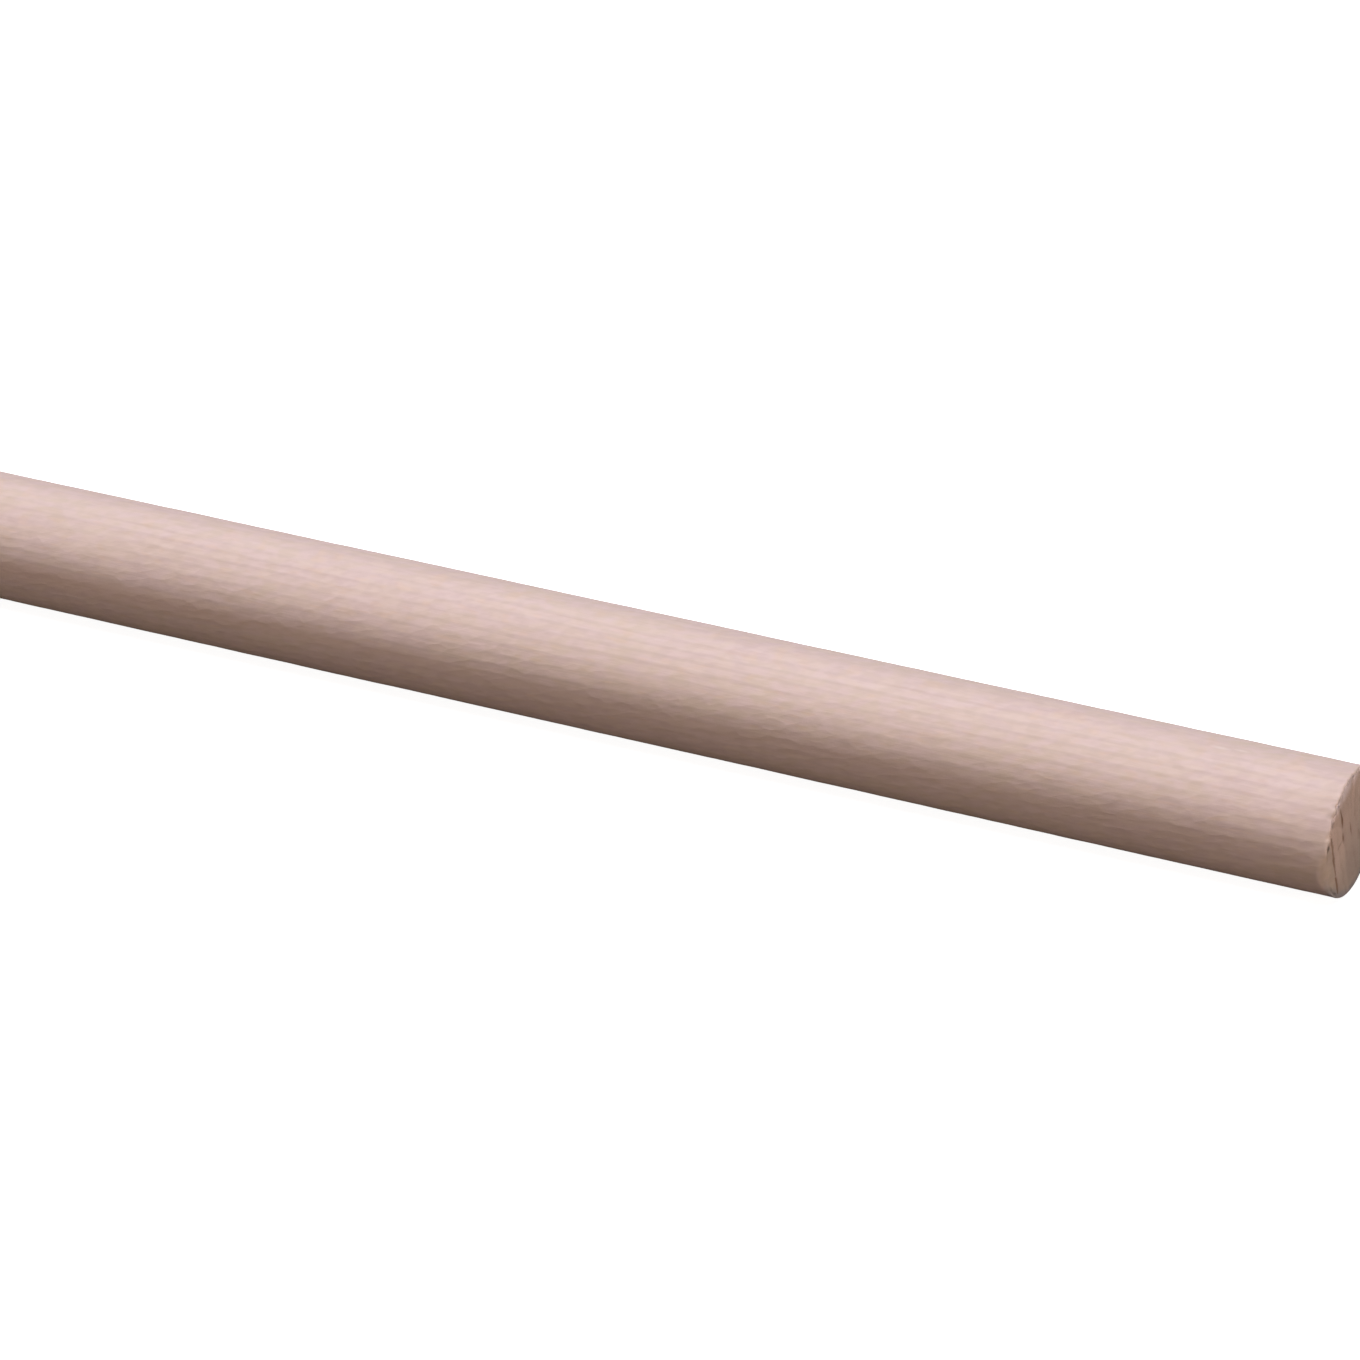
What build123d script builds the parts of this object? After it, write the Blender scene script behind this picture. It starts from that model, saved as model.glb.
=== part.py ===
import math
import os

from build123d import *

os.makedirs("parts", exist_ok=True)

# Millimetres and degrees. The rod lies along X with its middle at the origin.
# Its +X end is the one that was sawn off by hand; the -X end is a plain square cut.

# The turned stick
rod_diameter = 20.0
rod_length = 300.0
arris_radius = 0.4  # what handling has rubbed off the rim of both ends

# The corner that was bruised round as the saw came through the +X end, from the side to the
# end face, where its edge is a straight line across the grain's rings
bruise_angle = -20.5  # where its middle lies round the rod, from -Y (0) towards +Z (90)
bruise_spread = 79.0  # how far round the rod it reaches

# The split that opened along that edge
split_width = 0.6
split_depth = 0.6

# The nick in the rim, where the split starts
nick_width = 0.9
nick_length = 0.7

rod_radius = rod_diameter / 2
end_x = rod_length / 2
bruise_half_spread = bruise_spread / 2
split_height = rod_radius * math.cos(math.radians(bruise_half_spread))  # axis to the split
split_length = 2 * rod_radius * math.sin(math.radians(bruise_half_spread))
bruise_radius = rod_radius - split_height


def radial(angle):
    """Direction from the axis to a place round the rod, 0 at -Y and 90 at +Z."""
    turn = math.radians(angle)
    return Vector(0, -math.cos(turn), math.sin(turn))


bruise_middle = radial(bruise_angle)
along_split = radial(bruise_angle + 90)
split_place = Vector(end_x, 0, 0) + bruise_middle * split_height
split_plane = Plane(origin=split_place, x_dir=along_split, z_dir=(1, 0, 0))
# looks along the split: x runs out of the end, y away from the axis
bruise_plane = Plane(origin=split_place - Vector(bruise_radius, 0, 0), x_dir=(1, 0, 0),
                     z_dir=Vector(1, 0, 0).cross(bruise_middle))
nick_place = radial(bruise_angle + bruise_half_spread)
nick_plane = Plane(origin=Vector(end_x, 0, 0) + nick_place * rod_radius, x_dir=(1, 0, 0),
                   z_dir=nick_place)

with BuildPart() as dowel_rod:
    with BuildSketch(Plane.YZ.offset(-rod_length / 2)):
        Circle(rod_radius)
    extrude(amount=rod_length)
    fillet(dowel_rod.edges().filter_by(GeomType.CIRCLE), arris_radius)

    # the bruise: all that lies outside its round, from the side to the split
    with BuildSketch(bruise_plane):
        Rectangle(2 * bruise_radius, 2 * bruise_radius, align=(Align.MIN, Align.MIN))
        Circle(bruise_radius, mode=Mode.SUBTRACT)
    extrude(amount=rod_radius, both=True, mode=Mode.SUBTRACT)

    # the split, open to the rim at both ends
    with BuildSketch(split_plane):
        Rectangle(split_length + 2 * arris_radius, split_width)
    extrude(amount=-split_depth, both=True, mode=Mode.SUBTRACT)

    # the nick: a notch with its point up the rod
    with BuildSketch(nick_plane):
        with BuildLine():
            Polyline((0, nick_width / 2), (0, -nick_width / 2), (-nick_length, 0), close=True)
        make_face()
    extrude(amount=nick_width / 2, both=True, mode=Mode.SUBTRACT)

dowel_rod.part.label = "dowel_rod"
export_step(dowel_rod.part, "parts/dowel_rod.step")
volume = dowel_rod.part.volume
print(f"dowel_rod: {rod_diameter} x {rod_length} mm, {volume / 1000:.1f} cm3")
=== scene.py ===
import math

import bpy
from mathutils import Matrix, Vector


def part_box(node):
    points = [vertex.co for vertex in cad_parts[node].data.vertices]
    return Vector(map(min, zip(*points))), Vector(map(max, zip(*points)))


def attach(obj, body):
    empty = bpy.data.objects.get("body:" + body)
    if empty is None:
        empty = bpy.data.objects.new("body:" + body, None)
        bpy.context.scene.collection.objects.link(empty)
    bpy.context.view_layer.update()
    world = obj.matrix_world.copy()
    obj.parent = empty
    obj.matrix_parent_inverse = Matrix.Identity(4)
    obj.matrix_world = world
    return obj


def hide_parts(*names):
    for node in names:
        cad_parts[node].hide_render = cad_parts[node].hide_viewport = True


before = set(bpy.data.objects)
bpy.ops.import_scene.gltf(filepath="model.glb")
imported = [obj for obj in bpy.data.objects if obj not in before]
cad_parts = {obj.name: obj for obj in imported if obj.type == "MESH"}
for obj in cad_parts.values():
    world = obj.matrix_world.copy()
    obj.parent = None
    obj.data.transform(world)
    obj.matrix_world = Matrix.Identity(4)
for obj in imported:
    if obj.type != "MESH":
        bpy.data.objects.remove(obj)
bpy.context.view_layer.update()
mm = 0.001


# Picking by place. Each of these leaves the piece in edit mode with its choice selected.

def only(obj):
    bpy.ops.object.select_all(action="DESELECT")
    obj.select_set(True)
    bpy.context.view_layer.objects.active = obj


def clearPicks(obj, kind):
    only(obj)
    bpy.ops.object.mode_set(mode="EDIT")
    bpy.ops.mesh.select_mode(type=kind)
    bpy.ops.mesh.select_all(action="DESELECT")
    bpy.ops.object.mode_set(mode="OBJECT")


def pickFaces(obj, wanted):
    clearPicks(obj, "FACE")
    for face in obj.data.polygons:
        face.select = wanted(face.center, face.normal)
    bpy.ops.object.mode_set(mode="EDIT")


def pickEdges(obj, wanted):
    clearPicks(obj, "EDGE")
    points = obj.data.vertices
    for edge in obj.data.edges:
        edge.select = wanted(points[edge.vertices[0]].co, points[edge.vertices[1]].co)
    bpy.ops.object.mode_set(mode="EDIT")


def pickPoints(obj, wanted):
    clearPicks(obj, "VERT")
    for point in obj.data.vertices:
        point.select = wanted(point.co)
    bpy.ops.object.mode_set(mode="EDIT")


def done():
    bpy.ops.object.mode_set(mode="OBJECT")


def radial(angle):  # a direction round the rod, from -Y (0) towards +Z (90)
    turn = math.radians(angle)
    return Vector((0, -math.cos(turn), math.sin(turn)))


def ease(low, high, value):
    t = min(1, max(0, (value - low) / (high - low)))
    return t * t * (3 - 2 * t)


# The stick

nodeLow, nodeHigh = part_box("dowel_rod")
rod = {
    "radius": (nodeHigh.y - nodeLow.y) / 2,
    "endX": nodeHigh.x,
    "around": 144,  # faces round the side
    "lengths": 12,  # then each of these again in
    "slices": 36,
    "rim": 0.4 * mm,  # the rubbed arris
    "endRings": 23,
    "ringStep": 0.4 * mm,
}


def turnStick():
    endX, rim = rod["endX"], rod["rim"]
    bpy.ops.object.select_all(action="DESELECT")
    bpy.ops.mesh.primitive_cylinder_add(
        vertices=rod["around"], radius=rod["radius"], depth=2 * endX,
        end_fill_type="NGON", rotation=(0, math.pi / 2, 0),
    )
    stick = bpy.context.object
    stick.name = "dowelRod"
    bpy.ops.object.transform_apply(location=True, rotation=True, scale=True)

    pickEdges(stick, lambda a, b: abs(a.x - b.x) < 0.1 * rim)
    bpy.ops.mesh.bevel(offset=rim, offset_type="OFFSET", segments=4, profile=0.5, affect="EDGES")
    done()

    pickEdges(stick, lambda a, b: abs(a.x - b.x) > endX)
    bpy.ops.mesh.subdivide(number_cuts=rod["lengths"] - 1)
    done()
    pickEdges(stick, lambda a, b: abs(a.x - b.x) > endX / rod["lengths"])
    bpy.ops.mesh.subdivide(number_cuts=rod["slices"] - 1)
    done()

    for side in (-1, 1):  # rings of faces over each end, closed at its middle
        pickFaces(stick, lambda c, n: side * n.x > 0.9 and side * c.x > endX - 0.1 * rim)
        for ring in range(rod["endRings"]):
            bpy.ops.mesh.inset(thickness=rod["ringStep"])
        bpy.ops.mesh.poke()
        done()
    print("stick turned:", len(stick.data.polygons), "faces")
    return stick


# Marking and embossing: a weight at each point says how far a change reaches

def note(stick, name, weight):  # a value at each point, for the finish to read
    values = stick.data.attributes.new(name, "FLOAT", "POINT")
    for point in stick.data.vertices:
        values.data[point.index].value = float(weight(point.co))


def weigh(stick, name, weight):  # the same for modifiers, as a group
    group = stick.vertex_groups.new(name=name)
    for point in stick.data.vertices:
        share = weight(point.co)
        if share > 0:
            group.add([point.index], share, "REPLACE")


def emboss(stick, name, cell, depth, group, direction="NORMAL", turn=(0, 0, 0), grain=1):
    bpy.ops.object.empty_add(type="PLAIN_AXES", rotation=turn)
    stretch = bpy.context.object
    stretch.scale = cell
    pattern = bpy.data.textures.new(name, "CLOUDS")
    pattern.noise_scale = 1
    pattern.noise_depth = grain
    only(stick)
    push = stick.modifiers.new(name, "DISPLACE")
    push.texture = pattern
    push.texture_coords = "OBJECT"
    push.texture_coords_object = stretch
    push.vertex_group = group
    push.direction = direction
    push.mid_level = 0.5
    push.strength = depth
    bpy.ops.object.modifier_apply(modifier=name)
    bpy.data.objects.remove(stretch)
    bpy.data.textures.remove(pattern)


# The bruised corner at the +X end, with its split and nick

corner = {
    "angle": -20.5,  # where its middle lies round the rod
    "spread": 79.0,  # how far round it reaches
    "worked": 5 * mm,  # cuts for it stay this close to the end
    "firstLoop": 1.0 * mm,  # finer loops of edges start here, back from the end
    "loopStep": 0.3 * mm,
    "loops": 9,
    "roundSteps": 12,
    "splitTop": 1.25 * mm,  # its width where it starts, at the nick
    "splitFoot": 0.7 * mm,
    "splitBottom": 0.35,  # the deepest line, as a share of the way across
    "splitDepth": 0.7 * mm,
    "splitUneven": 1.2 * mm,
    "unevenCell": (1 * mm,) * 3,
    "splitWander": 0.8 * mm,
    "wanderCell": (1.6 * mm,) * 3,
    "blockHalf": 0.5,  # half the size of the block that presses it
    "easing": 10,
}
chipLean = 0.6  # how far a chip goes in towards the axis, against back from the end
chips = [  # bits gone from the sawn rim: angle round, reach, how far it is pushed
    (19, 0.7 * mm, 0.3 * mm),  # where the split starts
    (38, 0.8 * mm, 0.4 * mm),
    (47, 0.7 * mm, 0.35 * mm),
]
outward = radial(corner["angle"])
halfSpread = math.radians(corner["spread"] / 2)
chordHeight = rod["radius"] * math.cos(halfSpread)  # from the axis to the split
chordMiddle = Vector((rod["endX"], 0, 0)) + outward * chordHeight
cornerRound = rod["radius"] - chordHeight


def splitLine(share):  # a line along the split, from its outer edge (0) to its inner one (1)
    along = radial(corner["angle"] + 90)
    half = rod["radius"] * math.sin(halfSpread)
    top = chordMiddle + along * half - outward * corner["splitTop"] * share
    foot = chordMiddle - along * half - outward * corner["splitFoot"] * share
    return top, (top - foot).cross(Vector((1, 0, 0))).normalized()


def breakCorner(stick):
    endX = rod["endX"]
    for loop in range(corner["loops"]):
        backTo = endX - corner["firstLoop"] - loop * corner["loopStep"]
        pickFaces(stick, lambda c, n: c.x > endX - corner["worked"])
        bpy.ops.mesh.bisect(plane_co=(backTo, 0, 0), plane_no=(1, 0, 0))
        done()

    # three lines are cut across the end, and the middle one is pushed in
    for share in (0, corner["splitBottom"], 1):
        onLine, across = splitLine(share)
        pickFaces(stick, lambda c, n: c.x > endX - corner["firstLoop"])
        bpy.ops.mesh.bisect(plane_co=onLine, plane_no=across)
        done()
    onLine, across = splitLine(corner["splitBottom"])

    def inSplit(p):
        return p.x > endX - 1.2 * rod["rim"] and abs((p - onLine).dot(across)) < 0.01 * mm

    note(stick, "split", inSplit)
    weigh(stick, "split", inSplit)
    pickPoints(stick, inSplit)
    bpy.ops.transform.translate(value=(-corner["splitDepth"], 0, 0))
    done()
    emboss(stick, "beads", corner["unevenCell"], corner["splitUneven"], "split", "X")
    emboss(stick, "wander", corner["wanderCell"], corner["splitWander"], "split", "Y")

    # a big block with one rounded edge keeps every point inside the bruise
    bpy.ops.object.select_all(action="DESELECT")
    half = corner["blockHalf"]
    middle = (endX - half, 0, rod["radius"] - half)
    bpy.ops.mesh.primitive_cube_add(size=2 * half, location=middle)
    block = bpy.context.object
    bpy.ops.object.transform_apply(location=True, rotation=True, scale=True)
    pickEdges(block, lambda a, b: min(a.x, b.x) > 0 and min(a.z, b.z) > 0)
    bpy.ops.mesh.bevel(offset=cornerRound, offset_type="OFFSET", segments=corner["roundSteps"],
                       profile=0.5, affect="EDGES")
    bpy.ops.mesh.select_all(action="SELECT")
    bpy.ops.transform.rotate(value=math.radians(corner["angle"] - 90), orient_axis="X",
                             center_override=(0, 0, 0))
    done()
    only(stick)
    press = stick.modifiers.new("corner", "SHRINKWRAP")
    press.target = block
    press.wrap_method = "NEAREST_SURFACEPOINT"
    press.wrap_mode = "INSIDE"
    bpy.ops.object.modifier_apply(modifier="corner")
    bpy.data.objects.remove(block)

    # where it meets the side it is eased
    pickPoints(stick, lambda p: endX - 2 * cornerRound < p.x < endX - 1.1 * rod["rim"]
               and p.dot(outward) > 0.8 * chordHeight)
    bpy.ops.mesh.vertices_smooth(factor=0.5, repeat=corner["easing"])
    done()
    along = radial(corner["angle"] + 90)
    note(stick, "bruise", lambda p: p.x > endX - cornerRound and p.dot(outward) > chordHeight
         and ease(0, 0.4 * mm, rod["radius"] - math.hypot(p.y, p.z))
         * ease(8 * mm, 1 * mm, p.dot(along)))

    for angle, reach, push in chips:
        towards = radial(angle)
        chip = Vector((endX, 0, 0)) + towards * rod["radius"]
        nearest = min((point.co - chip).length for point in stick.data.vertices)
        pickPoints(stick, lambda p: (p - chip).length < nearest + 0.05 * mm)
        bpy.ops.transform.translate(
            value=(Vector((-1, 0, 0)) - towards * chipLean) * push,
            use_proportional_edit=True, proportional_edit_falloff="SHARP",
            proportional_size=reach,
        )
        done()
    print("corner bruised and split, rim chipped")


# Relief: the waves and scales left by the turning knives, and the saw's tooth marks

relief = {
    "flatWidth": 72,  # the stick isn't quite round: two faint flats this wide, in degrees,
    "ridgeAt": 20,  # meet in a ridge at this angle
    "flatDepth": 0.3 * mm,
    "twist": 5.6,  # how far the marks wind round from one end to the other, in radians
    "waveCell": (12 * mm, 5 * mm, 5 * mm),
    "waveDepth": 0.08 * mm,
    "scaleCell": (3.0 * mm, 1.8 * mm, 1.8 * mm),
    "scaleDepth": 0.05 * mm,
    "tornCell": (0.9 * mm, 0.5 * mm, 1.6 * mm),
    "tornDepth": 0.12 * mm,
    "rimCell": (1.3 * mm, 1.0 * mm, 1.0 * mm),  # the sawn rim is ragged
    "rimDepth": 0.9 * mm,
}


def wind(stick, angle):
    only(stick)
    bend = stick.modifiers.new("wind", "SIMPLE_DEFORM")
    bend.deform_method = "TWIST"
    bend.deform_axis = "X"
    bend.angle = angle
    bpy.ops.object.modifier_apply(modifier="wind")


def carveRelief(stick):
    endX, radius = rod["endX"], rod["radius"]
    weigh(stick, "side", lambda p: ease(0, 2 * mm, endX - abs(p.x)))
    weigh(stick, "ends", lambda p: ease(0, 0.4 * mm, abs(p.x) - endX + 0.9 * mm)
          * ease(0, 0.6 * mm, radius - math.hypot(p.y, p.z)))
    width = math.radians(relief["flatWidth"])

    def onFlats(p):
        off = math.atan2(p.z, -p.y) - math.radians(relief["ridgeAt"])
        return abs(off) < width and (0.5 - 0.5 * math.cos(2 * math.pi * off / width)) * ease(
            0, 6 * mm, endX - abs(p.x))

    weigh(stick, "flats", onFlats)
    only(stick)
    press = stick.modifiers.new("flats", "DISPLACE")
    press.vertex_group = "flats"
    press.mid_level = 0
    press.strength = -relief["flatDepth"]
    bpy.ops.object.modifier_apply(modifier="flats")

    wind(stick, relief["twist"])
    emboss(stick, "waves", relief["waveCell"], relief["waveDepth"], "side")
    emboss(stick, "scales", relief["scaleCell"], relief["scaleDepth"], "side")
    wind(stick, -relief["twist"])
    emboss(stick, "torn", relief["tornCell"], relief["tornDepth"], "ends", "X",
           turn=(math.radians(corner["angle"]), 0, 0), grain=2)
    weigh(stick, "rim", lambda p: ease(0.7 * mm, 0.1 * mm, endX - p.x)
          * ease(radius - 0.8 * mm, radius - 0.3 * mm, math.hypot(p.y, p.z))
          * ease(-3 * mm, 3 * mm, p.z))
    emboss(stick, "rim", relief["rimCell"], relief["rimDepth"], "rim", "X", grain=2)
    stick.vertex_groups.clear()
    print("relief carved")


# Unwrapping: the side in two strips, one for each half of the length, and the ends beside them

unwrap = {
    "sheet": 153 * mm,  # what the whole square stands for
    "gap": 1.2 * mm,
    "seam": 150,  # where round the rod the strips start, in degrees
    "endDepth": 0.6 * mm,  # faces this close to an end, and inside its rim, go with it
}


def unwrapStick(stick):
    endX, radius = rod["endX"], rod["radius"]
    girth = 2 * math.pi * radius
    sheet, gap = unwrap["sheet"], unwrap["gap"]
    stick.data.uv_layers.new(name="OFBake")
    for other in list(stick.data.uv_layers):
        if other.name != "OFBake":
            stick.data.uv_layers.remove(other)
    layer = stick.data.uv_layers["OFBake"]
    points = stick.data.vertices
    seam = math.radians(unwrap["seam"])

    def around(p):
        return (math.atan2(p.z, -p.y) - seam) % (2 * math.pi)

    for face in stick.data.polygons:
        half = 0 if face.center.x < 0 else 1
        isEnd = abs(face.normal.x) > 0.75 or endX - abs(face.center.x) < unwrap["endDepth"] and (
            math.hypot(face.center.y, face.center.z) < radius - rod["rim"])
        for loop in face.loop_indices:
            p = points[stick.data.loops[loop].vertex_index].co
            if isEnd:
                u = gap + radius + half * (2 * radius + 2 * gap) + p.y
                v = 2 * (girth + 2 * gap) + radius + p.z
            else:
                turn = around(p)
                middle = around(face.center)
                if turn - middle > math.pi:
                    turn -= 2 * math.pi
                elif middle - turn > math.pi:
                    turn += 2 * math.pi
                u = gap + (p.x + endX if half == 0 else p.x)
                v = gap + turn * radius + half * (girth + 2 * gap)
            layer.data[loop].uv = (u / sheet, v / sheet)
    stick.data.uv_layers.active = layer
    print("unwrapped")


# Shader nodes by hand

def add(tree, kind, inputs=None, **settings):
    node = tree.nodes.new(kind)
    for name, value in settings.items():
        setattr(node, name, value)
    for name, value in (inputs or {}).items():
        if isinstance(value, bpy.types.NodeSocket):
            tree.links.new(value, node.inputs[name])
        else:
            node.inputs[name].default_value = value
    return node


def calc(tree, operation, *values):
    node = tree.nodes.new("ShaderNodeMath")
    node.operation = operation
    for slot, value in enumerate(values):
        if isinstance(value, bpy.types.NodeSocket):
            tree.links.new(value, node.inputs[slot])
        else:
            node.inputs[slot].default_value = value
    return node.outputs[0]


patchy = (0.35, 0.65)  # the range in which most of a noise lies


def remap(tree, value, fromMin, fromMax, toMin=0.0, toMax=1.0):
    return add(tree, "ShaderNodeMapRange", {
        "Value": value, "From Min": fromMin, "From Max": fromMax,
        "To Min": toMin, "To Max": toMax,
    }, interpolation_type="SMOOTHSTEP").outputs["Result"]


def stretched(tree, place, cell):  # the place, measured in cells of this size
    return add(tree, "ShaderNodeMapping", {
        "Vector": place, "Scale": tuple(1 / length for length in cell),
    }).outputs["Vector"]


def noise(tree, place, cell, detail=1.0, distortion=0.0, output="Fac"):
    return add(tree, "ShaderNodeTexNoise", {
        "Vector": stretched(tree, place, cell), "Scale": 1.0, "Detail": detail,
        "Distortion": distortion,
    }).outputs[output]


def tint(tree, factor, under, over, how="MIX"):
    mix = tree.nodes.new("ShaderNodeMix")
    mix.data_type = "RGBA"
    mix.blend_type = how
    for slot, value in ((0, factor), (6, under), (7, over)):
        if isinstance(value, bpy.types.NodeSocket):
            tree.links.new(value, mix.inputs[slot])
        elif slot:
            mix.inputs[slot].default_value = (*value, 1)
        else:
            mix.inputs[slot].default_value = value
    return mix.outputs[2]


# Beech: rings round a pith that lies beside the stick, rays that run out from it, fine pores

beech = {
    "pithAway": 60 * mm,
    "ringWidth": 2.285 * mm,
    "ringAt": 3.15 * mm,  # one ring's edge lies this far out from the rod's axis
    "wander": 0.9 * mm,
    "wanderCell": (70 * mm, 16 * mm, 16 * mm),
    "unevenRings": 0.5,
    "unevenCell": (90 * mm, 1.7 * mm, 1.7 * mm),
    "faintCell": (60 * mm, 3.0 * mm, 3.0 * mm),  # where the rings fade
    "fleckCell": (2.8 * mm, 7 * mm, 0.42 * mm),
    "poreCell": (5.5 * mm, 0.22 * mm, 0.22 * mm),
    "cloudCell": (38 * mm, 9 * mm, 9 * mm),
}


def figureGroup():
    tree = bpy.data.node_groups.new("beechFigure", "ShaderNodeTree")
    tree.interface.new_socket("Place", in_out="INPUT", socket_type="NodeSocketVector")
    for name in ("Ring", "Fleck", "Pore", "Cloud"):
        tree.interface.new_socket(name, in_out="OUTPUT", socket_type="NodeSocketFloat")
    start = tree.nodes.new("NodeGroupInput")
    end = tree.nodes.new("NodeGroupOutput")
    place = start.outputs["Place"]

    # seen from the pith: Y runs out to the bark
    fromPith = add(tree, "ShaderNodeMapping", {
        "Vector": place, "Rotation": (math.radians(180 + corner["angle"]), 0, 0),
        "Location": (0, beech["pithAway"], 0),
    }).outputs["Vector"]
    drift = noise(tree, place, beech["wanderCell"], detail=0.0, output="Color")
    drift = add(tree, "ShaderNodeVectorMath", {0: drift, 1: (0.5, 0.5, 0.5)}, operation="SUBTRACT")
    bent = add(tree, "ShaderNodeVectorMath", {
        0: drift.outputs[0], 1: (beech["wander"],) * 3, 2: fromPith,
    }, operation="MULTIPLY_ADD").outputs[0]
    parts = add(tree, "ShaderNodeSeparateXYZ", {"Vector": bent})
    along, out, across = parts.outputs
    reach = calc(tree, "SQRT", calc(tree, "ADD", calc(tree, "MULTIPLY", out, out),
                                    calc(tree, "MULTIPLY", across, across)))
    turn = calc(tree, "MULTIPLY", calc(tree, "ARCTAN2", across, out), beech["pithAway"])

    # each ring darkens outwards and stops short at its edge
    count = calc(tree, "DIVIDE", calc(
        tree, "SUBTRACT", reach, beech["pithAway"] + beech["ringAt"]), beech["ringWidth"])
    uneven = noise(tree, place, beech["unevenCell"], detail=0.0)
    count = calc(tree, "ADD", count, calc(tree, "MULTIPLY", calc(tree, "SUBTRACT", uneven, 0.5),
                                          beech["unevenRings"]))
    share = calc(tree, "FRACT", count)
    ring = calc(tree, "MULTIPLY", remap(tree, share, 0.45, 0.95),
                remap(tree, share, 1.0, 0.92))
    faint = noise(tree, place, beech["faintCell"])
    ring = calc(tree, "MULTIPLY", ring, remap(tree, faint, 0.35, 0.62, 0.15, 1.0))
    tree.links.new(ring, end.inputs["Ring"])

    polar = add(tree, "ShaderNodeCombineXYZ", {"X": along, "Y": reach, "Z": turn}).outputs[0]
    fleck = remap(tree, noise(tree, polar, beech["fleckCell"], detail=0.5), 0.60, 0.74)
    tree.links.new(fleck, end.inputs["Fleck"])
    tree.links.new(noise(tree, place, beech["poreCell"]), end.inputs["Pore"])
    tree.links.new(noise(tree, place, beech["cloudCell"], detail=1.5), end.inputs["Cloud"])
    return tree


lowRimShade = {  # painted shade along the low side of the sawn rim
    "inner": 1.2 * mm,
    "outer": 0.4 * mm,
    "back": 1.6 * mm,
    "full": 0.4 * mm,
    "unevenCell": (1.5 * mm,) * 3,
    "uneven": 1.2 * mm,
}


def lowRimShadeGroup():
    tree = bpy.data.node_groups.new("lowRimShade", "ShaderNodeTree")
    tree.interface.new_socket("Place", in_out="INPUT", socket_type="NodeSocketVector")
    tree.interface.new_socket("Shaded", in_out="OUTPUT", socket_type="NodeSocketFloat")
    place = tree.nodes.new("NodeGroupInput").outputs["Place"]
    parts = add(tree, "ShaderNodeSeparateXYZ", {"Vector": place}).outputs
    off = calc(tree, "SQRT", calc(tree, "ADD", calc(tree, "MULTIPLY", parts["Y"], parts["Y"]),
                                  calc(tree, "MULTIPLY", parts["Z"], parts["Z"])))
    uneven = calc(tree, "MULTIPLY", noise(tree, place, lowRimShade["unevenCell"], detail=2.0),
                  lowRimShade["uneven"])
    reach = calc(tree, "ADD", off, uneven)
    radius, endX = rod["radius"], rod["endX"]
    wearAndShade = calc(tree, "MULTIPLY", remap(tree, reach, radius - lowRimShade["inner"],
                                        radius + lowRimShade["outer"]),
                remap(tree, parts["Z"], -0.3 * radius, -0.75 * radius))
    atEnd = remap(tree, calc(tree, "ABSOLUTE", parts["X"]), endX - lowRimShade["back"],
                  endX - lowRimShade["full"])
    end = tree.nodes.new("NodeGroupOutput")
    tree.links.new(calc(tree, "MULTIPLY", wearAndShade, atEnd), end.inputs["Shaded"])
    return tree


def newMaterial(name):
    material = bpy.data.materials.new(name)
    material.use_nodes = True
    tree = material.node_tree
    shader = tree.nodes["Principled BSDF"]
    place = add(tree, "ShaderNodeTexCoord").outputs["Object"]
    return material, tree, shader, place


# The side: pale planed beech with the turning knives' shallow scales

side = {
    "pale": (0.652, 0.486, 0.444),
    "rosy": (0.614, 0.453, 0.417),
    "honey": (0.619, 0.467, 0.406),
    "speckCell": (2.3 * mm, 1.3 * mm, 1.3 * mm),
    "toneCell": (3.1 * mm, 1.7 * mm, 1.7 * mm),
    # the next ones multiply the colour under them
    "straw": (1.0, 1.008, 0.955),
    "late": (0.90, 0.86, 0.83),  # late wood in the rings
    "lateShare": 0.15,
    "poreShare": 0.25,
    "ray": (1.02, 0.985, 0.92),
    "rayShare": 0.6,
    "bruised": (0.82, 0.81, 0.76),
    "ridge": (0.932, 0.93, 0.928),  # a ridge between two strips, darker: partly its own faint line, partly painted shade
    "ridgeFront": 35,  # painted shade: they are clearest at this angle round the rod,
    "ridgeFar": 0.25,  # and this faint away from it
    # how unevenly the end's colour creeps round the rim
    "frayCell": (0.8 * mm, 0.9 * mm, 0.9 * mm),
    "fray": 1.2 * mm,
    "frayBack": 0.4 * mm,
    "frayShare": 0.8,
    # shape of the knives' marks, and how deep each shows in the finish
    "scaleCell": (2.6 * mm, 1.15 * mm, 1.15 * mm),
    "scaleWarp": (0.9 * mm, 0.7 * mm, 0.7 * mm),
    "warpCell": (3.4 * mm, 1.5 * mm, 1.5 * mm),
    "patchCell": (9 * mm, 4 * mm, 4 * mm),  # where the scales are deeper or fainter
    "scaleRelief": 0.06 * mm,
    "dashCell": (3.6 * mm, 1.1 * mm, 1.1 * mm),
    "dashRelief": 0.007 * mm,
    "strips": 36,  # faint strips along the rod, this many all round
    "stripAt": 50,  # where one ridge between them lies, in degrees
    "stripTwist": 0.233,  # radians in a metre
    "stripWander": 0.1,
    "stripCell": (50 * mm, 4 * mm, 4 * mm),
    "stripPatch": (35 * mm, 3 * mm, 3 * mm),
    "stripRelief": 0.005 * mm,
    "poreRelief": 0.012 * mm,
    "roughness": 0.55,
    "specular": 0.3,
}
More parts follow.
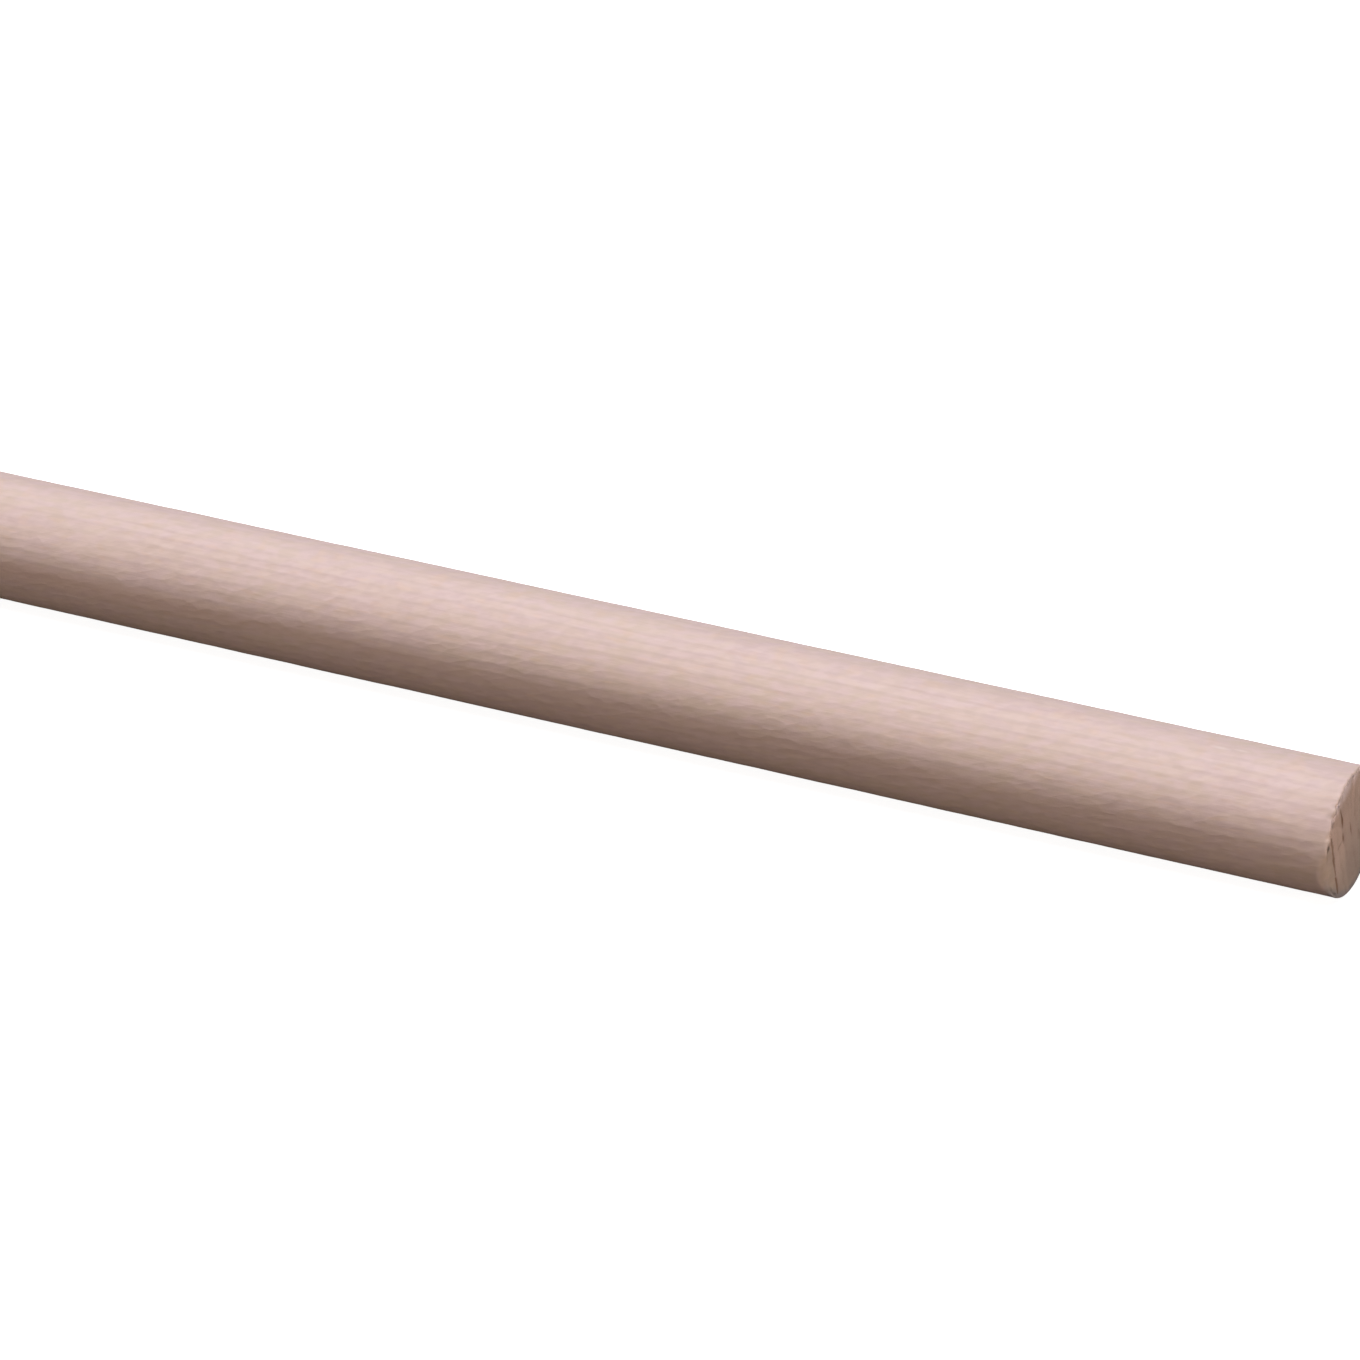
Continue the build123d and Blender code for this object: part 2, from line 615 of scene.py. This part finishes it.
sideFlecks = [  # slivers and specks: place along, angle round, length, width, strength, colour
    (-120 * mm, 0.8, 95 * mm, 1.2 * mm, 0.4, (0.50, 0.36, 0.32)),  # a long dark line,
    (-125 * mm, -3, 160 * mm, 2.8 * mm, 0.75, (0.585, 0.40, 0.325)),  # and browner wood round it
    (70 * mm, -5, 120 * mm, 2.4 * mm, 0.5, (0.575, 0.41, 0.35)),
    # pale specks on small bruises near the top: painted highlights
    (129.3 * mm, 82.3, 1.9 * mm, 0.45 * mm, 0.5, (0.80, 0.66, 0.60)),
    (132.5 * mm, 84.5, 1.7 * mm, 0.40 * mm, 0.4, (0.80, 0.66, 0.60)),
    (127.7 * mm, 62, 0.8 * mm, 0.40 * mm, 0.5, (0.62, 0.40, 0.28)),
    (149.7 * mm, 38, 1.2 * mm, 0.7 * mm, 1.2, (0.47, 0.35, 0.30)),  # dark at the chips: partly end grain bared, partly painted shade in the notches
    (149.8 * mm, 47, 1.0 * mm, 0.6 * mm, 0.9, (0.47, 0.35, 0.30)),
]


def strips(tree, place):  # 1 on the ridges between the strips, -1 along their middles
    parts = add(tree, "ShaderNodeSeparateXYZ", {"Vector": place}).outputs
    turn = calc(tree, "ARCTAN2", parts["Z"], calc(tree, "MULTIPLY", parts["Y"], -1))
    turn = calc(tree, "SUBTRACT", turn, calc(tree, "MULTIPLY", parts["X"], side["stripTwist"]))
    wander = calc(tree, "MULTIPLY", calc(tree, "SUBTRACT", noise(
        tree, place, side["stripCell"], detail=0.0), 0.5), side["stripWander"])
    turn = calc(tree, "SUBTRACT", calc(tree, "ADD", turn, wander), math.radians(side["stripAt"]))
    wave = calc(tree, "COSINE", calc(tree, "MULTIPLY", turn, side["strips"]))
    wearAndShade = remap(tree, noise(tree, place, side["stripPatch"]), *patchy, 0.7, 1.3)
    return calc(tree, "MULTIPLY", wave, wearAndShade)


def dimples(tree, place, cell):  # shallow hollows, sharp where they meet
    away = add(tree, "ShaderNodeTexVoronoi", {
        "Vector": stretched(tree, place, cell), "Scale": 1.0, "Smoothness": 0.3,
    }, feature="SMOOTH_F1").outputs["Distance"]
    return calc(tree, "MULTIPLY", away, away)


def fleck(tree, colour, place, spot, turn, size, strength, flecked):  # one soft-edged mark
    near = add(tree, "ShaderNodeMapping", {
        "Vector": place, "Location": tuple(spot), "Rotation": turn, "Scale": size,
    }, vector_type="TEXTURE").outputs["Vector"]
    ball = add(tree, "ShaderNodeTexGradient", {"Vector": near}, gradient_type="SPHERICAL")
    return tint(tree, calc(tree, "MULTIPLY", ball.outputs["Fac"], strength), colour, flecked)


def sideMaterial(figure, rimShade):
    material, tree, shader, place = newMaterial("beechSide")
    marks = add(tree, "ShaderNodeGroup", {"Place": place}, node_tree=figure).outputs
    run = add(tree, "ShaderNodeSeparateXYZ", {"Vector": place}).outputs["X"]
    windBack = calc(tree, "MULTIPLY", run, relief["twist"] / (2 * rod["endX"]))
    wound = add(tree, "ShaderNodeVectorRotate", {"Vector": place, "Angle": windBack},
                rotation_type="X_AXIS").outputs["Vector"]
    warp = noise(tree, wound, side["warpCell"], detail=0.0, output="Color")
    warped = add(tree, "ShaderNodeVectorMath", {0: warp, 1: side["scaleWarp"], 2: wound},
                 operation="MULTIPLY_ADD").outputs[0]
    scale = calc(tree, "MULTIPLY", dimples(tree, warped, side["scaleCell"]), remap(
        tree, noise(tree, wound, side["patchCell"]), *patchy, 0.55, 1.25))
    dash = remap(tree, noise(tree, wound, side["dashCell"]), 0.44, 0.56)  # shallow steps
    speck = noise(tree, wound, side["speckCell"])
    tone = noise(tree, wound, side["toneCell"], detail=0.0)
    strip = strips(tree, place)

    colour = tint(tree, remap(tree, marks["Cloud"], *patchy), side["rosy"], side["honey"])
    colour = tint(tree, remap(tree, speck, *patchy), colour, side["pale"])
    colour = tint(tree, remap(tree, tone, *patchy), colour, side["straw"], "MULTIPLY")
    colour = tint(tree, calc(tree, "MULTIPLY", marks["Ring"], side["lateShare"]), colour,
                  side["late"], "MULTIPLY")
    colour = tint(tree, calc(tree, "MULTIPLY", marks["Fleck"], side["rayShare"]), colour,
                  side["ray"], "MULTIPLY")
    colour = tint(tree, remap(tree, marks["Pore"], 0.60, 0.72, 0.0, side["poreShare"]), colour,
                  side["late"], "MULTIPLY")
    bruise = add(tree, "ShaderNodeAttribute", attribute_name="bruise").outputs["Fac"]
    colour = tint(tree, bruise, colour, side["bruised"], "MULTIPLY")
    # the ridges darkened in the colour: partly their own faint lines, partly painted shade,
    # strongest at ridgeFront
    front = add(tree, "ShaderNodeVectorMath", {0: place, 1: radial(side["ridgeFront"])},
                operation="DOT_PRODUCT").outputs["Value"]
    ridge = calc(tree, "MULTIPLY", remap(tree, strip, -0.1, 1.2), remap(
        tree, front, 0.68 * rod["radius"], 0.87 * rod["radius"], side["ridgeFar"], 1.0))
    colour = tint(tree, ridge, colour, side["ridge"], "MULTIPLY")
    for atX, angle, length, width, strength, flecked in sideFlecks:
        spot = Vector((atX, 0, 0)) + radial(angle) * rod["radius"]
        colour = fleck(tree, colour, place, spot, (0, 0, 0), (length, width, width),
                       strength, flecked)
    fray = calc(tree, "MULTIPLY", calc(tree, "SUBTRACT", noise(
        tree, place, side["frayCell"], detail=2.0), 0.5), side["fray"])
    toEnd = calc(tree, "ADD", calc(tree, "ABSOLUTE", run), fray)
    colour = tint(tree, remap(
        tree, toEnd, rod["endX"] - side["frayBack"], rod["endX"] + 0.05 * mm,
        0.0, side["frayShare"]), colour, endGrain["body"])
    # painted shade where the side meets the low rim of the end
    wearAndShade = add(tree, "ShaderNodeGroup", {"Place": place}, node_tree=rimShade).outputs["Shaded"]
    colour = tint(tree, wearAndShade, colour, endGrain["wearAndShade"], "MULTIPLY")
    tree.links.new(colour, shader.inputs["Base Color"])

    tree.links.new(remap(tree, marks["Pore"], 0.3, 0.7, side["roughness"] - 0.05,
                         side["roughness"] + 0.08), shader.inputs["Roughness"])
    shader.inputs["Specular IOR Level"].default_value = side["specular"]
    bent = None
    for height, depth in (
        (marks["Pore"], side["poreRelief"]), (strip, side["stripRelief"]),
        (dash, side["dashRelief"]), (scale, side["scaleRelief"]),
    ):
        inputs = {"Height": height, "Distance": depth, "Strength": 1.0}
        if bent:
            inputs["Normal"] = bent
        bent = add(tree, "ShaderNodeBump", inputs).outputs["Normal"]
    tree.links.new(bent, shader.inputs["Normal"])
    return material


# The ends: open end grain, browner, with the rings edge on and a few tooth marks

endGrain = {
    "body": (0.49, 0.36, 0.297),
    "light": (0.55, 0.405, 0.338),
    "fleckShare": 0.4,
    # painted shade in the split and the cracks, darkest at the split's foot
    "split": (0.25, 0.145, 0.10),
    "splitFoot": (0.05, 0.04, 0.035),
    "splitShade": 0.7,
    # the next ones multiply the colour under them
    "late": (0.80, 0.75, 0.70),
    "lateShare": 0.45,
    "poreShare": 0.5,
    # painted light on the top of the end face, and painted shade towards its foot
    "paintedTopLight": (1.17, 1.12, 1.15),
    "paintedFootShade": (0.835, 0.865, 0.92),
    "wearAndShade": (0.70, 0.80, 0.95),  # painted shade on the low rim, darker and greyer
    "rubbed": (1.5, 1.7, 2.0),  # painted light on the top rim, paler
    "rubbedFrom": 4.5 * mm,  # how far in from the side it starts,
    "rubbedFull": 0.8 * mm,  # and where it is strongest
    "edge": (1.11, 1.105, 1.10),  # the strip between the split and the next rings
    "edgeReach": 3.6 * mm,
    "edgeSoft": 0.5 * mm,
    "edgeWander": 0.8 * mm,
    "beadCell": (0.9 * mm, 0.9 * mm, 0.9 * mm),
    "toothCell": (40 * mm, 0.28 * mm, 12 * mm),
    "toothTurn": 62,  # how the saw lay across the end
    "roughness": 0.75,
    "specular": 0.2,
    "relief": 0.06 * mm,
}
checks = [  # short cracks along the rings, dark with painted shade: out from the axis, along, length, width, strength
    (2.8 * mm, 5.6 * mm, 2.4 * mm, 0.40 * mm, 1.6),
    (3.3 * mm, 2.1 * mm, 1.4 * mm, 0.5 * mm, 1.0),
    (4.6 * mm, 1.9 * mm, 0.4 * mm, 1.3 * mm, 0.5),
    (0.4 * mm, 1.1 * mm, 1.7 * mm, 0.35 * mm, 0.8),
    (-2.2 * mm, -2.2 * mm, 1.2 * mm, 0.35 * mm, 0.7),
    (7.8 * mm, 1.0 * mm, 1.3 * mm, 1.1 * mm, 0.9),  # wider dark marks along the split, in the same painted shade
    (7.3 * mm, -3.6 * mm, 2.4 * mm, 0.6 * mm, 0.7),
]


def endMaterial(figure, rimShade):
    material, tree, shader, place = newMaterial("beechEnd")
    marks = add(tree, "ShaderNodeGroup", {"Place": place}, node_tree=figure).outputs
    sawn = add(tree, "ShaderNodeMapping", {
        "Vector": place, "Rotation": (math.radians(endGrain["toothTurn"]), 0, 0),
    }).outputs["Vector"]
    tooth = noise(tree, sawn, endGrain["toothCell"])

    colour = tint(tree, remap(tree, marks["Cloud"], *patchy), endGrain["body"], endGrain["light"])
    colour = tint(tree, calc(tree, "MULTIPLY", marks["Ring"], endGrain["lateShare"]), colour,
                  endGrain["late"], "MULTIPLY")
    colour = tint(tree, calc(tree, "MULTIPLY", marks["Fleck"], endGrain["fleckShare"]), colour,
                  endGrain["light"])
    colour = tint(tree, remap(tree, marks["Pore"], 0.55, 0.75, 0.0, endGrain["poreShare"]),
                  colour, endGrain["late"], "MULTIPLY")
    # in this frame Y runs out across the split, and Z down along it
    crossGrain = add(tree, "ShaderNodeMapping", {
        "Vector": place, "Rotation": (math.radians(180 + corner["angle"]), 0, 0),
    }).outputs["Vector"]
    parts = add(tree, "ShaderNodeSeparateXYZ", {"Vector": crossGrain}).outputs
    radius = rod["radius"]
    # painted light and shade: the end face lighter towards its top, darker towards its foot
    colour = tint(tree, remap(tree, parts["Z"], -radius, radius), tint(
        tree, 1.0, colour, endGrain["paintedTopLight"], "MULTIPLY"), tint(
        tree, 1.0, colour, endGrain["paintedFootShade"], "MULTIPLY"))
    off = calc(tree, "SQRT", calc(tree, "ADD", calc(tree, "MULTIPLY", parts["Y"], parts["Y"]),
                                  calc(tree, "MULTIPLY", parts["Z"], parts["Z"])))
    # painted light: the end face paler along its top rim, where the edge catches the light
    rubbed = calc(tree, "MULTIPLY", remap(
        tree, off, radius - endGrain["rubbedFrom"], radius - endGrain["rubbedFull"]),
        remap(tree, parts["Z"], -0.68 * radius, -0.95 * radius))
    colour = tint(tree, rubbed, colour, endGrain["rubbed"], "MULTIPLY")
    edge = calc(tree, "ADD", parts["Y"],
                calc(tree, "MULTIPLY", marks["Cloud"], endGrain["edgeWander"]))
    edge = remap(tree, edge, endGrain["edgeReach"], endGrain["edgeReach"] + endGrain["edgeSoft"])
    colour = tint(tree, edge, colour, endGrain["edge"], "MULTIPLY")
    for out, along, length, width, strength in checks:
        colour = fleck(tree, colour, crossGrain, (rod["endX"], out, -along),
                       (0, 0, 0), (2 * mm, width, length), strength, endGrain["split"])
    # painted shade down the split, darkest towards its foot
    split = add(tree, "ShaderNodeAttribute", attribute_name="split").outputs["Fac"]
    bead = noise(tree, place, endGrain["beadCell"])
    split = calc(tree, "ADD", split, calc(tree, "SUBTRACT", bead, 0.5))
    dark = tint(tree, remap(tree, parts["Z"], 0.55 * radius, 0.8 * radius), endGrain["split"],
                endGrain["splitFoot"])
    colour = tint(tree, remap(tree, split, 0.1, 0.75, 0.0, endGrain["splitShade"]), colour, dark)
    # painted shade along the low rim of the end face
    wearAndShade = add(tree, "ShaderNodeGroup", {"Place": place}, node_tree=rimShade).outputs["Shaded"]
    colour = tint(tree, wearAndShade, colour, endGrain["wearAndShade"], "MULTIPLY")
    tree.links.new(colour, shader.inputs["Base Color"])
    tree.links.new(remap(tree, marks["Pore"], 0.3, 0.7, endGrain["roughness"] - 0.05,
                         endGrain["roughness"] + 0.08), shader.inputs["Roughness"])
    shader.inputs["Specular IOR Level"].default_value = endGrain["specular"]
    height = calc(tree, "ADD", tooth, marks["Pore"])
    bump = add(tree, "ShaderNodeBump", {"Height": height, "Distance": endGrain["relief"],
                                        "Strength": 1.0})
    tree.links.new(bump.outputs["Normal"], shader.inputs["Normal"])
    return material


endFaces = {  # the faces that get the end grain: this close to an end, not past the rim or bruise
    "depth": 0.7 * mm,
    "rimShare": 0.8,
    "pastSplit": 0.3 * mm,
}


def finishStick(stick):
    figure, rimShade = figureGroup(), lowRimShadeGroup()
    stick.data.materials.append(sideMaterial(figure, rimShade))
    stick.data.materials.append(endMaterial(figure, rimShade))
    endX, radius = rod["endX"], rod["radius"]
    for face in stick.data.polygons:
        off = math.hypot(face.center.y, face.center.z)
        bruised = face.center.x > 0 and (
            face.center.dot(outward) > chordHeight + endFaces["pastSplit"])
        atEnd = endX - abs(face.center.x) < endFaces["depth"]
        inRim = off < radius - endFaces["rimShare"] * rod["rim"]
        face.material_index = int(atEnd and inRim and not bruised)
    only(stick)
    bpy.ops.object.shade_smooth_by_angle(angle=math.radians(40))
    print("finished with", len(stick.data.materials), "materials")


# Studio: white floor and sky to the camera, a long soft box overhead, warm fills round about

studio = {
    "floorSize": 6.0,
    "floor": (0.035, 0.038, 0.052),  # how it lights the rod from below
    "floorSeen": (0.5, 0.5, 0.5),  # what the camera sees of it,
    "floorGlow": 0.93,  # with this glow
    "sky": (0.01, 0.01, 0.01),
    "skySeen": (1.2, 1.2, 1.2),
}
softBoxes = {  # where it hangs, what it points at, size, power, colour
    "overhead": ((-0.1, -0.1, 1.4), (0, 0, 0), (2.2, 0.12), 30.2, (0.89, 0.92, 1.0)),
    "frontFill": ((0.4, -1.59, 0.17), (0, 0, 0), (0.9, 0.3), 8.2, (1.0, 0.83, 0.67)),
    "rightFill": ((1.7, -0.05, 0.12), (0.1, 0, 0), (0.6, 0.6), 13.8, (1.0, 0.895, 0.76)),
    "leftFill": ((-1.7, -0.05, 0.12), (-0.1, 0, 0), (0.6, 0.6), 9.0, (1.0, 0.835, 0.67)),
    "backFill": ((0, 1.6, 0.05), (0, 0, 0), (2.0, 0.7), 5.5, (1.0, 0.93, 0.88)),
}
view = {
    "eye": Vector((448.5, -818.7, 449.0)) * mm,
    "aim": Vector((39.4, 0.25, 0.6)) * mm,
    "lens": 175.6,
}


def facing(spot, aim):
    return (Vector(aim) - Vector(spot)).to_track_quat("-Z", "Y").to_euler()


def lightStudio():
    for name, (spot, aim, size, power, colour) in softBoxes.items():
        bpy.ops.object.light_add(type="AREA", location=spot, rotation=facing(spot, aim))
        lamp = bpy.context.object
        lamp.name = name
        lamp.data.shape = "RECTANGLE"
        lamp.data.size, lamp.data.size_y = size
        lamp.data.energy = power
        lamp.data.color = colour
    sky = bpy.data.worlds.new("sky")
    bpy.context.scene.world = sky
    sky.use_nodes = True
    tree = sky.node_tree
    seen = add(tree, "ShaderNodeLightPath").outputs["Is Camera Ray"]
    tree.links.new(tint(tree, seen, studio["sky"], studio["skySeen"]),
                   tree.nodes["Background"].inputs["Color"])


def layFloor():
    bpy.ops.object.select_all(action="DESELECT")
    bpy.ops.mesh.primitive_plane_add(size=studio["floorSize"], location=(0, 0, nodeLow.z))
    floor = bpy.context.object
    floor.name = "floor"
    material, tree, shader, _ = newMaterial("floor")
    tree.nodes.remove(shader)
    seen = add(tree, "ShaderNodeLightPath").outputs["Is Camera Ray"]
    pale = add(tree, "ShaderNodeBsdfDiffuse", {
        "Color": tint(tree, seen, studio["floor"], studio["floorSeen"])})
    glow = add(tree, "ShaderNodeEmission", {
        "Strength": calc(tree, "MULTIPLY", seen, studio["floorGlow"])})
    both = add(tree, "ShaderNodeAddShader", {0: pale.outputs[0], 1: glow.outputs[0]})
    tree.links.new(both.outputs[0], tree.nodes["Material Output"].inputs["Surface"])
    floor.data.materials.append(material)


def setCamera():
    bpy.ops.object.camera_add(location=view["eye"], rotation=facing(view["eye"], view["aim"]))
    camera = bpy.context.object
    camera.data.lens = view["lens"]
    bpy.context.scene.camera = camera
    bpy.context.scene.view_settings.view_transform = "Standard"


setCamera()
lightStudio()
layFloor()
print("studio set")

dowelRod = turnStick()
breakCorner(dowelRod)
carveRelief(dowelRod)
unwrapStick(dowelRod)
finishStick(dowelRod)
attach(dowelRod, "root")
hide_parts("dowel_rod")
